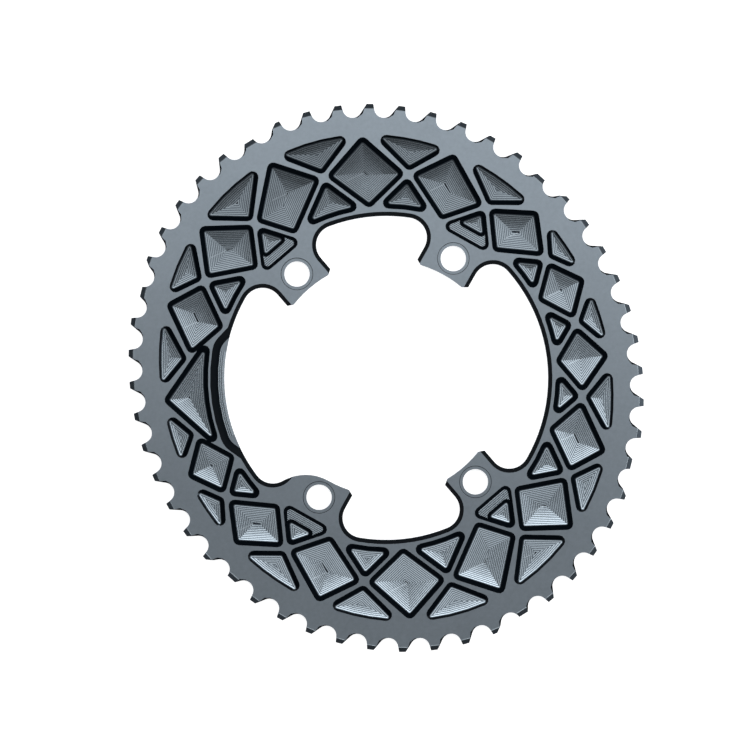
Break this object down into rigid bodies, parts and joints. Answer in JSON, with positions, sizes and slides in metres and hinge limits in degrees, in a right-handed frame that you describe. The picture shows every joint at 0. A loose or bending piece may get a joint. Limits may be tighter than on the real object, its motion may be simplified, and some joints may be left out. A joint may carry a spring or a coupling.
{
  "type": "bicycle chainring",
  "caption": "Oval outer chainring for a double crankset, with shift gates, bolt tabs, a crank arm notch and a web of machined pockets.",
  "frame": {"origin": "centre of the bolt circle, on the plane of the back face, which the ring lies on", "axes": "+Z along the ring's axis towards the pocketed outer face, +Y halves the narrow pair of bolt holes at the top of the picture, +X completes the frame away from the crank arm notch"},
  "size_m": [0.2054, 0.2214, 0.0046],
  "materials": {
    "anodised_plate": "satin grey-blue anodised, near black in the pocket walls and bevels",
    "pin_steel": "turned, plain"
  },
  "bodies": {
    "root": {"chainring": "anodised_plate", "shift_pin_1": "pin_steel", "shift_pin_2": "pin_steel", "shift_pin_3": "pin_steel", "shift_pin_4": "pin_steel", "shift_pin_5": "pin_steel", "shift_pin_6": "pin_steel"}
  },
  "joints": []
}
